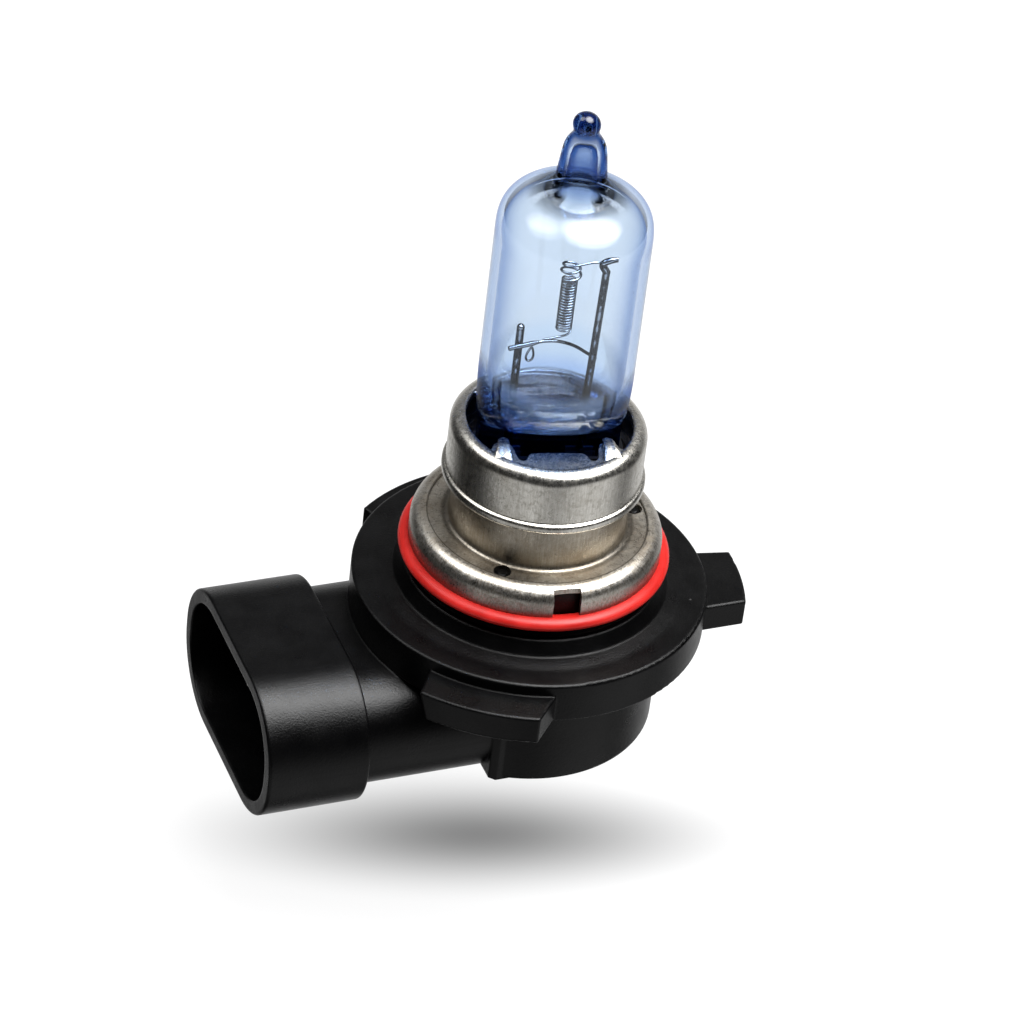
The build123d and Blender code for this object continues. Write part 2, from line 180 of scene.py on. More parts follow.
class Nodes:
    """Short way to write a material's nodes."""

    def __init__(self, name):
        self.material = bpy.data.materials.new(name)
        self.material.use_nodes = True
        self.tree = self.material.node_tree
        self.tree.nodes.clear()
        self.out = self.tree.nodes.new("ShaderNodeOutputMaterial")

    def add(self, kind, inputs=None, **settings):
        node = self.tree.nodes.new("ShaderNode" + kind)
        for key, value in settings.items():
            setattr(node, key, value)
        for key, value in (inputs or {}).items():
            socket = node.inputs[key]
            if isinstance(value, bpy.types.NodeSocket):
                self.tree.links.new(value, socket)
            else:
                socket.default_value = value
        return node

    def math(self, operation, a, b):
        return self.add("Math", {0: a, 1: b}, operation=operation).outputs[0]

    def spread(self, value, from_min, from_max, to_min=0.0, to_max=1.0):
        node = self.add("MapRange", {"Value": value, "From Min": from_min, "From Max": from_max,
                                     "To Min": to_min, "To Max": to_max}, interpolation_type="SMOOTHSTEP")
        return node.outputs["Result"]

    def noise(self, vector, scale, detail, roughness):
        inputs = {"Vector": vector, "Scale": scale, "Detail": detail, "Roughness": roughness}
        return self.add("TexNoise", inputs).outputs["Fac"]

    def mix(self, factor, a, b):
        node = self.add("Mix", data_type="RGBA")
        for index, value in ((0, factor), (6, a), (7, b)):
            if isinstance(value, bpy.types.NodeSocket):
                self.tree.links.new(value, node.inputs[index])
            else:
                node.inputs[index].default_value = value
        return node.outputs[2]

    def place(self):
        """Position in the row frame, in metres."""
        return self.add("TexCoord").outputs["Object"]

    def scaled(self, vector, scale):
        return self.add("Mapping", {"Vector": vector, "Scale": scale}).outputs[0]

    def bump(self, height, distance, strength, normal=None):
        inputs = {"Height": height, "Distance": distance, "Strength": strength}
        if normal is not None:
            inputs["Normal"] = normal
        return self.add("Bump", inputs).outputs[0]

    def finish(self, shader):
        self.tree.links.new(shader, self.out.inputs["Surface"])
        return self.material


def rgb(r, g, b):
    return (r, g, b, 1.0)


# ---------------------------------------------------------------- materials

def around_and_up(n, place):
    """(angle round the bulb's axis, height, radius) of a point."""
    xyz = n.add("SeparateXYZ", {0: place})
    angle = n.math("ARCTAN2", xyz.outputs[1], xyz.outputs[0])
    flat = n.add("CombineXYZ", {0: xyz.outputs[0], 1: xyz.outputs[1]}).outputs[0]
    radius = n.add("VectorMath", {0: flat}, operation="LENGTH").outputs["Value"]
    return angle, xyz.outputs[2], radius


def black_plastic():
    n = Nodes("black_plastic")
    place = n.place()
    grain = n.noise(place, 6500, 3, 0.65)
    mottle = n.noise(place, 420, 4, 0.55)
    broad = n.noise(place, 90, 3, 0.5)
    tone = n.mix(n.spread(broad, 0.3, 0.7), rgb(0.0003, 0.0003, 0.0004), rgb(0.0007, 0.0007, 0.0008))
    specks = n.add("TexVoronoi", {"Vector": place, "Scale": 620}, feature="F1")
    pick = n.add("SeparateColor", {0: specks.outputs["Color"]}).outputs[0]
    near = n.spread(specks.outputs["Distance"], 0.085, 0.05)
    dust = n.math("MULTIPLY", near, n.spread(pick, 0.965, 0.975))
    tone = n.mix(dust, tone, rgb(0.026, 0.026, 0.025))
    rough = n.math("ADD", n.spread(mottle, 0.3, 0.7, 0.27, 0.34), n.math("MULTIPLY", dust, 0.4))
    rounded = n.add("Bevel", {"Radius": 0.00026}, samples=6).outputs[0]
    normal = n.bump(broad, 0.00012, 0.35, rounded)
    normal = n.bump(mottle, 0.000012, 0.5, normal)
    normal = n.bump(grain, 0.000024, 1.0, normal)
    shader = n.add("BsdfPrincipled", {"Base Color": tone, "Roughness": rough, "Normal": normal,
                                      "Specular IOR Level": 0.21})
    return n.finish(shader.outputs[0])


def steel_look(n, light, dark, stain, low, high, streak, stain_from):
    """Tone, roughness and bump of drawn, slightly stained sheet metal."""
    place = n.place()
    angle, height, radius = around_and_up(n, place)
    along = n.add("CombineXYZ", {0: n.math("MULTIPLY", angle, 7.0), 1: n.math("MULTIPLY", height, 60.0),
                                 2: n.math("MULTIPLY", radius, 300.0)}).outputs[0]
    streaks = n.noise(along, 9.0, 5, 0.65)
    fine = n.noise(along, 42.0, 3, 0.7)
    pits = n.noise(place, 3800, 3, 0.6)
    grains = n.noise(place, 2300, 5, 0.75)
    cloud = n.noise(place, 260, 4, 0.6)
    patch = n.noise(place, 90, 3, 0.55)
    tone = n.mix(n.spread(streaks, 0.35, 0.65), dark, light)
    tone = n.mix(n.math("MULTIPLY", n.spread(cloud, stain_from, stain_from + 0.25), 0.55), tone, stain)
    tone = n.mix(n.math("MULTIPLY", n.spread(patch, 0.5, 0.7), 0.35), tone, stain)
    tone = n.mix(n.math("MULTIPLY", n.spread(grains, 0.50, 0.62), 0.35), tone, stain)
    rough = n.math("ADD", n.spread(fine, 0.3, 0.7, low, high), n.spread(grains, 0.4, 0.7, 0.0, 0.14))
    normal = n.bump(streaks, 0.00002 * streak, 0.5)
    normal = n.bump(fine, 0.000006 * streak, 0.5, normal)
    normal = n.bump(pits, 0.000008, 0.7, normal)
    return tone, rough, normal, angle, height, radius


def cup_steel():
    """Bright nickel of the cup."""
    n = Nodes("drawn_steel")
    tone, rough, normal, _, height, radius = steel_look(
        n, rgb(0.80, 0.78, 0.73), rgb(0.62, 0.60, 0.55), rgb(0.40, 0.37, 0.31), 0.16, 0.30, 1.0, 0.47)
    # darker on the back half of the cup's top plate
    back = n.spread(n.add("SeparateXYZ", {0: n.place()}).outputs[1], 0.0, 0.0025)
    plate = n.math("MULTIPLY", n.spread(radius, 0.0068, 0.0062), n.spread(height, 0.0140, 0.0144))
    dark_tone_mask = n.math("MULTIPLY", back, plate)
    tone = n.mix(n.math("MULTIPLY", dark_tone_mask, 0.85), tone, rgb(0.13, 0.135, 0.15))
    shader = n.add("BsdfPrincipled", {"Base Color": tone, "Roughness": rough, "Normal": normal,
                                      "Metallic": 1.0})
    return n.finish(shader.outputs[0])


def ring_steel():
    """Browner metal of the base ring: worn bright at its rim, with painted shade in the fold at the neck's
    foot and at the step, and a painted shadow low on the rim.
    """
    n = Nodes("stained_steel")
    tone, rough, normal, angle, height, radius = steel_look(
        n, rgb(0.66, 0.625, 0.565), rgb(0.46, 0.425, 0.365), rgb(0.27, 0.22, 0.16), 0.22, 0.38, 1.3, 0.38)
    neck = n.spread(radius, 0.0074, 0.0070)
    tone = n.mix(n.math("MULTIPLY", neck, 0.45), tone, rgb(0.33, 0.285, 0.22))
    around = n.add("CombineXYZ", {0: n.math("MULTIPLY", angle, 10.0),
                                  1: n.math("MULTIPLY", height, 400.0)}).outputs[0]
    rubs = n.noise(around, 8.0, 5, 0.7)
    worn = n.math("MULTIPLY", n.spread(radius, 0.0091, 0.0096), n.spread(rubs, 0.42, 0.55))
    tone = n.mix(n.math("MULTIPLY", worn, 0.45), tone, rgb(0.84, 0.83, 0.80))
    # painted shade: dark lines in the fold at the neck's foot and at the step on the top plate, only below
    # the rim's top
    fold = n.math("MULTIPLY", n.spread(radius, 0.0070, 0.0073), n.spread(radius, 0.0078, 0.0074))
    step = n.math("MULTIPLY", n.spread(radius, 0.00862, 0.00868), n.spread(radius, 0.00882, 0.00876))
    crease_shade = n.math("MAXIMUM", n.math("MULTIPLY", fold, 0.65), n.math("MULTIPLY", step, 0.6))
    # painted shadow: the rim's lower band just above the O-ring darkened
    foot = n.math("MULTIPLY", n.spread(height, 0.0043, 0.0036), n.spread(radius, 0.0093, 0.0096))
    tone = n.mix(n.math("MULTIPLY", foot, 0.75), tone, rgb(0.10, 0.085, 0.07))
    flat = n.spread(height, 0.0064, 0.0061)
    tone = n.mix(n.math("MULTIPLY", crease_shade, flat), tone, rgb(0.035, 0.028, 0.02))
    shader = n.add("BsdfPrincipled", {"Base Color": tone, "Roughness": rough, "Normal": normal,
                                      "Metallic": 1.0})
    return n.finish(shader.outputs[0])


def cup_inside():
    """Near-black painted shade for the inside of the cup and its clip."""
    n = Nodes("painted_shade_steel")
    place = n.place()
    dark_tone_mask = n.noise(place, 600, 4, 0.6)
    shader = n.add("BsdfPrincipled", {
        "Base Color": n.mix(dark_tone_mask, rgb(0.010, 0.010, 0.011), rgb(0.030, 0.029, 0.028)), "Metallic": 0.6,
        "Roughness": n.spread(dark_tone_mask, 0.3, 0.7, 0.35, 0.55), "Normal": n.bump(dark_tone_mask, 0.00001, 0.5)})
    return n.finish(shader.outputs[0])


def wire_metal(name, tone_a, tone_b, low, high, edge_shade_range=(0.9, 1.0), under=None):
    """Wire and sheet metal with a painted sheen: the colour darkens towards a round wire's edges as seen,
    leaving a painted highlight down its middle, and, where asked, painted shade on its underside.
    """
    n = Nodes(name)
    place = n.place()
    marks = n.noise(n.scaled(place, (1, 1, 0.12)), 9000, 3, 0.6)
    cloud = n.noise(place, 1500, 3, 0.5)
    tone = n.mix(n.spread(cloud, 0.35, 0.65), tone_a, tone_b)
    # painted sheen: Layer Weight darkens the base colour towards the edges as seen, leaving a painted
    # highlight line down the middle
    edge = n.add("LayerWeight", {"Blend": 0.5}).outputs["Facing"]
    edge = n.math("ADD", edge, n.spread(cloud, 0.3, 0.7, -0.06, 0.06))
    tone = n.mix(n.spread(edge, *edge_shade_range), tone, rgb(0.018, 0.022, 0.030))
    # painted shade: downward-facing sides darker, upward-facing ones keep the lit tone
    if under:
        rise = n.add("SeparateXYZ", {0: n.add("NewGeometry").outputs["Normal"]}).outputs[2]
        tone = n.mix(n.spread(rise, *under), rgb(0.010, 0.014, 0.022), tone)
    shader = n.add("BsdfPrincipled", {
        "Base Color": tone, "Metallic": 1.0, "Roughness": n.spread(marks, 0.3, 0.7, low, high),
        "Normal": n.bump(marks, 0.000006, 0.5)})
    return n.finish(shader.outputs[0])


def red_silicone():
    n = Nodes("red_silicone")
    place = n.place()
    cloud = n.noise(place, 500, 3, 0.5)
    fine = n.noise(place, 4200, 3, 0.6)
    tone = n.mix(n.spread(cloud, 0.3, 0.7), rgb(0.33, 0.008, 0.006), rgb(0.41, 0.012, 0.009))
    shader = n.add("BsdfPrincipled", {
        "Base Color": tone, "Roughness": n.spread(cloud, 0.3, 0.7, 0.34, 0.44),
        "Normal": n.bump(fine, 0.000006, 0.5), "Specular IOR Level": 0.28,
        "Subsurface Weight": 0.12, "Subsurface Radius": (0.001, 0.0002, 0.0001), "Subsurface Scale": 0.5})
    return n.finish(shader.outputs[0])


def blue_glass():
    """Pale blue coated glass: lavender towards its edges, navy at the shoulders, the tip and the foot."""
    n = Nodes("blue_glass")
    place = n.place()
    height = n.add("SeparateXYZ", {0: place}).outputs[2]
    edge = n.add("LayerWeight", {"Blend": 0.5}).outputs["Facing"]
    tone = n.mix(n.spread(edge, 0.28, 0.80), rgb(0.745, 0.82, 0.905), rgb(0.165, 0.285, 0.565))
    shoulder = n.math("MULTIPLY", n.spread(height, 0.0315, 0.0330), n.spread(height, 0.0362, 0.0352))
    tone = n.mix(n.math("MULTIPLY", shoulder, n.spread(edge, 0.62, 0.86)), tone, rgb(0.05, 0.11, 0.38))
    tone = n.mix(n.spread(height, 0.0186, 0.0168), tone, rgb(0.56, 0.68, 0.88))
    tone = n.mix(n.spread(height, 0.0170, 0.0158), tone, rgb(0.10, 0.20, 0.46))
    tip_edge = n.mix(n.spread(height, 0.0368, 0.0392), rgb(0.30, 0.44, 0.74), rgb(0.022, 0.075, 0.28))
    tip_tone = n.mix(n.spread(edge, 0.20, 0.42), rgb(0.44, 0.54, 0.72), tip_edge)
    tone = n.mix(n.spread(height, 0.0362, 0.0372), tone, tip_tone)
    tone = n.mix(n.spread(height, 0.0405, 0.0416), tone, rgb(0.005, 0.020, 0.10))
    waves = n.noise(n.scaled(place, (1, 1, 0.35)), 210, 2, 0.4)
    # the tip bends light less than the bulb does
    soft = n.math("MULTIPLY", n.spread(height, 0.0362, 0.0370), n.spread(height, 0.0416, 0.0408, 0.0, 0.30))
    shader = n.add("BsdfPrincipled", {
        "Base Color": tone, "Roughness": 0.0, "IOR": n.math("SUBTRACT", 1.47, soft),
        "Transmission Weight": 1.0,
        "Normal": n.bump(waves, 0.000008, n.spread(height, 0.0205, 0.0225, 0.0, 0.4))})
    clear = n.add("BsdfTransparent", {"Color": tone})
    # part of the light goes straight through at the feet of the tip and of the tube
    tip_foot = n.math("MULTIPLY", n.spread(height, 0.0358, 0.0364),
                      n.spread(height, 0.0394, 0.0376, 0.0, 0.75))
    straight = n.math("MAXIMUM", tip_foot, n.spread(height, 0.0216, 0.0194, 0.0, 0.66))
    glass = n.add("MixShader", {0: straight, 1: shader.outputs[0], 2: clear.outputs[0]})
    path = n.add("LightPath")
    both = n.add("MixShader", {0: path.outputs["Is Shadow Ray"], 1: glass.outputs[0],
                               2: clear.outputs[0]})
    return n.finish(both.outputs[0])


def compound():
    n = Nodes("sealing_compound")
    place = n.place()
    lumps = n.noise(place, 700, 4, 0.6)
    shader = n.add("BsdfPrincipled", {
        "Base Color": n.mix(lumps, rgb(0.008, 0.008, 0.009), rgb(0.016, 0.016, 0.017)),
        "Roughness": n.spread(lumps, 0.3, 0.7, 0.35, 0.6), "Normal": n.bump(lumps, 0.00008, 0.6)})
    return n.finish(shader.outputs[0])


PLASTIC = black_plastic()
STEEL = cup_steel()
NECK_STEEL = ring_steel()
CUP_INSIDE = cup_inside()
# the last ranges set the painted edge shade and, for the filament, the painted shade under each turn
WIRE = wire_metal("wire_metal", rgb(0.42, 0.46, 0.52), rgb(0.66, 0.70, 0.76), 0.10, 0.18, (0.13, 0.19))
FILAMENT = wire_metal("filament_metal", rgb(0.38, 0.42, 0.48), rgb(0.64, 0.68, 0.74), 0.14, 0.24,
                      (0.26, 0.56), (0.0, 0.36))
FOIL = wire_metal("foil_metal", rgb(0.28, 0.29, 0.31), rgb(0.38, 0.39, 0.41), 0.35, 0.5)
TERMINAL = wire_metal("terminal_metal", rgb(0.60, 0.58, 0.54), rgb(0.72, 0.71, 0.68), 0.22, 0.36)
SILICONE = red_silicone()
GLASS = blue_glass()
COMPOUND = compound()

# the pinch clip takes the near-black painted shade of the cup's inside
CAD_FINISH = {
    "base_housing": PLASTIC, "rear_cap": PLASTIC, "terminal_carrier": PLASTIC,
    "potting_seal": COMPOUND, "o_ring": SILICONE, "base_ring": NECK_STEEL, "focus_cup": STEEL,
    "pinch_clip": CUP_INSIDE, "long_terminal": TERMINAL, "short_terminal": TERMINAL,
    "long_outer_lead": WIRE, "short_outer_lead": WIRE, "long_foil": FOIL, "short_foil": FOIL,
    "long_lead_post": WIRE, "short_lead_post": WIRE, "filament_coil": FILAMENT,
    "filament_overwind": FILAMENT, "cross_sleeve": WIRE, "cross_support_wire": WIRE,
    "support_wire_loop": WIRE, "glass_envelope": GLASS,
}
for name, obj in frame["nodes"].items():
    obj.data.materials.clear()
    obj.data.materials.append(CAD_FINISH[name])


# ---------------------------------------------------------------- glass

def glass_piece():
    """Outer skin with the domed top, the exhaust tip and the flattened foot, and the gas space inside."""
    low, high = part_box("glass_envelope")
    top, foot_end = high.z / MM, low.z / MM
    radius, wall = 6.0, 0.7
    shoulder, dome_top, foot_top = 32.1, 36.6, 21.0
    pinch_u, pinch_v, pinch_top = 5.6, 1.7, 15.15
    sides = 128

    def ring(half_u, half_v, power, z):
        out = []
        for k in range(sides):
            a = 2 * math.pi * k / sides
            c, s = math.cos(a), math.sin(a)
            x = half_u * math.copysign(abs(c) ** (2 / power), c)
            y = half_v * math.copysign(abs(s) ** (2 / power), s)
            out.append((x, y, z))
        return in_pinch(out)

    def foot_rings(r, narrow_u, flat_v, low_z, steps):
        """From the round tube down to the pinch: the faces follow a circle, the sides narrow a little."""
        rings = []
        for i in range(steps, -1, -1):
            share = i / steps
            drop = (foot_top - low_z) * math.sin(share * math.pi / 2)
            part = drop / (foot_top - low_z)
            half_u = r - (r - narrow_u) * part ** 3
            half_v = max(math.sqrt(max(r * r - drop * drop, 0)), flat_v)
            rings.append(ring(half_u, half_v, 2.0 + 0.6 * part ** 4, foot_top - drop))
        return rings

    outer = [ring(pinch_u * 0.9, pinch_v * 0.8, 4.0, foot_end), ring(pinch_u, pinch_v, 4.0, foot_end + 0.3),
             ring(pinch_u, pinch_v, 4.0, 10.0), ring(pinch_u, pinch_v, 4.0, pinch_top - 0.5)]
    outer += foot_rings(radius, pinch_u + 0.1, pinch_v, pinch_top, 24)
    steps = 12
    outer += [ring(radius, radius, 2, foot_top + (shoulder - foot_top) * i / steps)
              for i in range(1, steps + 1)]
    dome_steps = 40
    for i in range(1, dome_steps + 1):
        t = math.sin(i / dome_steps * math.pi / 2 * 0.985)
        r = radius * math.sqrt(max(1 - t ** 3.5, 0))
        z = shoulder + (dome_top - shoulder) * t
        if r < 2.55:
            break
        outer.append(ring(r, r, 2, z))
    tip = [(2.45, 0.0), (2.25, 0.16), (2.10, 0.42), (1.98, 0.85), (1.90, 1.5), (1.82, 2.3), (1.72, 3.2),
           (1.62, 3.8), (1.46, 4.25), (1.24, 4.6), (1.05, 4.9), (0.98, 5.15), (1.00, 5.4), (1.06, 5.65),
           (1.06, 5.9), (0.98, 6.18), (0.82, 6.42), (0.60, 6.6), (0.34, 6.72), (0.1, 6.76)]
    stretch = (top - dome_top - 0.02) / tip[-1][1]
    for r, rise in tip:
        lean = 0.16 * max(0.0, (rise - 3.0) / 3.7) ** 1.5
        outer.append([(x - lean, y, z) for x, y, z in ring(r, r, 2, dome_top + 0.02 + rise * stretch)])

    inner = foot_rings(radius - wall, 4.0, 0.35, pinch_top + 0.95, 20)
    r_in, h_in = radius - wall, dome_top - 1.0
    inner += [ring(r_in, r_in, 2, foot_top + (shoulder - 0.2 - foot_top) * i / steps)
              for i in range(1, steps + 1)]
    for i in range(1, dome_steps + 1):
        t = math.sin(i / dome_steps * math.pi / 2 * 0.985)
        r = r_in * math.sqrt(max(1 - t ** 3.5, 0))
        z = shoulder - 0.2 + (h_in - shoulder + 0.2) * t
        if r < 1.75:
            break
        inner.append(ring(r, r, 2, z))
    channel = [(1.62, h_in + 0.08), (1.45, h_in + 0.3), (1.32, h_in + 0.8), (1.24, 37.3), (1.16, 38.2),
               (1.08, 39.0), (0.98, 39.7), (0.72, 40.2), (0.3, 40.4)]
    inner += [ring(r, r, 2, z) for r, z in channel]

    verts, faces = rings_to_mesh(outer)
    inner_verts, inner_faces = rings_to_mesh(inner)
    mesh = bpy.data.meshes.new("glass_bulb")
    base = len(verts)
    all_faces = list(faces) + [tuple(base + i for i in f) for f in inner_faces]
    mesh.from_pydata([tuple(c * MM for c in v) for v in verts + inner_verts], [], all_faces)
    bm = bmesh.new()
    bm.from_mesh(mesh)
    bmesh.ops.recalc_face_normals(bm, faces=bm.faces)
    bm.faces.ensure_lookup_table()
    # the inner skin faces the gas, so that the glass lies between the two
    for f in bm.faces[len(faces):]:
        f.normal_flip()
    bm.to_mesh(mesh)
    bm.free()
    for p in mesh.polygons:
        p.use_smooth = True
    obj = bpy.data.objects.new("glass_bulb", mesh)
    bpy.context.scene.collection.objects.link(obj)
    obj.data.materials.append(GLASS)
    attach(obj, "root")
    stand_for("glass_envelope")


glass_piece()


# ---------------------------------------------------------------- wires in the glass

def helix(radius_low, radius_high, turns, z_low, z_high, centre_u, end_angle, per_turn):
    """Points of a winding that ends at the given angle."""
    steps = int(turns * per_turn)
    points = []
    for i in range(steps + 1):
        share = i / steps
        angle = math.radians(end_angle) - 2 * math.pi * turns * (1 - share)
        r = radius_low + (radius_high - radius_low) * share
        z = z_low + (z_high - z_low) * share
        points.append((centre_u + r * math.cos(angle), r * math.sin(angle), z))
    return points


def wires():
    post_r = 0.31
    long_path = smooth_path([(2.60, 0, 12.5), (2.60, 0, 16.0), (2.66, 0, 19.0), (2.79, 0, 24.5),
                             (2.89, 0, 28.7), (2.86, 0, 29.2), (2.62, 0, 29.65), (2.52, 0, 29.98),
                             (2.62, -0.02, 30.22), (2.95, -0.04, 30.40), (3.28, -0.07, 30.47),
                             (3.6, -0.1, 30.5)], 10)

    def hooked(share):
        """Round stem, flattened towards the hook's end."""
        flat = max(0.0, (share - 0.80) / 0.20)
        return post_r * (1 - 0.55 * flat), post_r * (1 - 0.15 * flat), 0
    post = new_object("long_post", *tube(in_pinch(long_path), hooked, 24), WIRE)
    stand_for("long_lead_post")

    stem = [(-3.15, 0, 12.5), (-3.15, 0, 16.5), (-3.14, 0, 20.0), (-3.15, 0, 23.99)]
    stem_path = smooth_path(stem, 8) + [Vector((-3.15, 0, 23.99 + post_r * math.sin(a * math.pi / 16)))
                                        for a in range(1, 9)]
    count = len(stem_path) - 1

    def domed(share):
        step = share * count - (count - 8)
        r = post_r if step <= 0 else post_r * max(math.cos(step * math.pi / 16), 0.04)
        return r, r, 0
    post = new_object("short_post", *tube(in_pinch(stem_path), domed, 24), WIRE)
    stand_for("short_lead_post")

    coil = helix(0.56, 0.56, 19, 23.85, 28.6, 0.14, 0, 28)
    leg = smooth_path([(0.70, 0.0, 23.85), (0.62, -0.22, 23.72), (0.35, -0.36, 23.58), (0.0, -0.40, 23.48),
                       (-0.7, -0.46, 23.34), (-1.45, -0.51, 23.22)], 6)
    leg.reverse()
    first = Vector(coil[0])
    body = [first + (p - Vector((0.70, 0.0, 23.85))) for p in leg[:-1]] + [Vector(p) for p in coil]
    piece = round_wire("filament", body, 0.085, FILAMENT, 10)
    stand_for("filament_coil")

    wind = helix(0.82, 0.60, 2.15, 28.78, 30.18, 0.14, -90, 30)
    tail = smooth_path([wind[-1], (0.85, -0.50, 30.33), (1.5, -0.38, 30.44), (2.1, -0.22, 30.4),
                        (2.4, -0.12, 30.3)], 8)
    piece = round_wire("filament_coarse_winding", wind + [tuple(p) for p in tail[1:]], 0.11, FILAMENT, 14)
    stand_for("filament_overwind")

    front = -0.51
    sleeve = smooth_path([(-3.98, front, 22.33), (-3.2, front, 22.56), (-2.4, front, 22.80),
                          (-1.70, front, 23.00)], 8)

    def crimped(share):
        """Round sleeve whose right end is pressed flat."""
        flat = max(0.0, (share - 0.78) / 0.22)
        end = 0.7 if share in (0, 1) else 1.0
        return 0.20 * (1 - 0.45 * flat) * end, 0.20 * (1 + 0.05 * flat) * end, 0
    piece = new_object("sleeve", *tube(in_pinch(sleeve), crimped, 20), WIRE)
    stand_for("cross_sleeve")

    cross = smooth_path([(-1.98, front, 22.92), (-1.70, front, 23.00), (-1.1, -0.44, 23.04),
                         (-0.3, -0.33, 22.95), (0.6, -0.1, 22.58), (1.4, 0.15, 22.07),
                         (2.3, 0.4, 21.33), (3.2, 0.64, 20.6)], 8)
    piece = round_wire("cross_wire", cross, 0.13, WIRE, 14)
    stand_for("cross_support_wire")

    loop = []
    for k in range(40):
        a = 2 * math.pi * k / 40
        width = 0.25 * math.sin(a) * (1 - 0.45 * math.cos(a))
        loop.append((-2.28 + width + 0.06 * math.cos(a), front, 21.86 + 0.62 * math.cos(a)))
    rings = tube(in_pinch(loop), lambda share: (0.09, 0.09, 0), 10, closed=True)
    piece = new_object("support_loop", *rings, WIRE)
    stand_for("support_wire_loop")


wires()


# ---------------------------------------------------------------- focus cup

CUP_R, CUP_TOP, CUP_BOTTOM, SHEET = 7.72, 15.2, 9.9, 0.45
LIP_R, LIP_HEIGHT, SHOULDER_R = 8.0, 0.8, 1.0
PLATE_Z = CUP_TOP - 0.25

# a quarter of the plate's opening, (along the pinch's width, across it), from the wide side to the middle
OPENING = ((6.75, 0.0), (6.64, 1.4), (6.3, 2.6), (5.9, 3.35), (5.35, 3.75), (4.95, 3.6), (4.8, 3.2),
           (4.6, 2.95), (4.1, 2.85), (3.65, 2.95), (3.45, 3.25), (3.32, 3.8), (3.22, 4.6), (3.02, 5.05),
           (2.72, 5.2), (2.45, 5.05), (2.3, 4.7), (2.1, 4.36), (1.8, 4.25), (1.0, 4.22), (0.0, 4.2))


def arc(centre_r, centre_z, radius, start, end, steps):
    """Points of an arc in a lathe profile, angles in degrees."""
    out = []
    for i in range(steps + 1):
        a = math.radians(start + (end - start) * i / steps)
        out.append((centre_r + radius * math.cos(a), centre_z + radius * math.sin(a)))
    return out


def turned_skin(name, profile, material):
    """Lathe a profile of (radius, height) points, closed on itself."""
    return new_object(name, *rings_to_mesh(lathe_rings(profile, 144), False, True), material)


def opening_outline():
    """The whole opening as one smooth closed line."""
    quarter = [Vector((u, v, 0)) for u, v in OPENING]
    upper = quarter + [Vector((-p.x, p.y, 0)) for p in reversed(quarter[:-1])]
    whole = upper + [Vector((-p.x, -p.y, 0)) for p in upper[1:-1]]
    count = len(whole)
    out = []
    for i in range(count):
        p0, p1, p2, p3 = (whole[(i + d) % count] for d in (-1, 0, 1, 2))
        for step in range(5):
            out.append(between(p0, p1, p2, p3, step / 5))
    return out


def cup_wall():
    """Lip bead, wall and rounded shoulder, with the sheet's inner side."""
    bead = 0.3
    profile = [(CUP_R - SHEET, CUP_BOTTOM)]
    profile += arc(LIP_R - bead, CUP_BOTTOM + bead, bead, -90, 0, 6)
    profile += arc(LIP_R - bead, CUP_BOTTOM + LIP_HEIGHT - bead, bead, 0, 80, 6)
    profile += [(CUP_R, CUP_BOTTOM + LIP_HEIGHT), (CUP_R, CUP_BOTTOM + LIP_HEIGHT + 0.15), (CUP_R, 12.6)]
    profile += arc(CUP_R - SHOULDER_R, CUP_TOP - SHOULDER_R, SHOULDER_R, 0, 90, 12)
    profile += [(6.55, CUP_TOP - 0.02), (6.55, PLATE_Z - SHEET)]
    profile += arc(CUP_R - SHEET - 0.5, CUP_TOP - SHEET - 0.5 - 0.2, 0.5, 90, 0, 6)
    return turned_skin("cup_wall", profile, STEEL)


def cup_plate():
    """Top plate with its opening, as a filled flat curve with softened edges."""
    data = bpy.data.curves.new("cup_plate", "CURVE")
    data.dimensions = "2D"
    data.fill_mode = "BOTH"
    data.extrude = (SHEET / 2 - 0.05) * MM
    data.bevel_depth = 0.05 * MM
    data.bevel_resolution = 2
    rim = [Vector((6.9 * math.cos(2 * math.pi * k / 128), 6.9 * math.sin(2 * math.pi * k / 128), 0))
           for k in range(128)]
    for line in (rim, opening_outline()):
        spline = data.splines.new("POLY")
        spline.points.add(len(line) - 1)
        for point, p in zip(spline.points, line):
            point.co = (p.x * MM, p.y * MM, 0, 1)
        spline.use_cyclic_u = True
    flat = bpy.data.objects.new("cup_plate_line", data)
    bpy.context.scene.collection.objects.link(flat)
    mesh = bpy.data.meshes.new_from_object(flat.evaluated_get(bpy.context.evaluated_depsgraph_get()))
    bpy.data.objects.remove(flat)
    mesh.transform(PINCH_FRAME @ Matrix.Translation((0, 0, (PLATE_Z + 0.02 - SHEET / 2) * MM)))
    obj = bpy.data.objects.new("cup_plate", mesh)
    bpy.context.scene.collection.objects.link(obj)
    mesh.materials.clear()
    mesh.materials.append(STEEL)
    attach(obj, "root")
    return obj


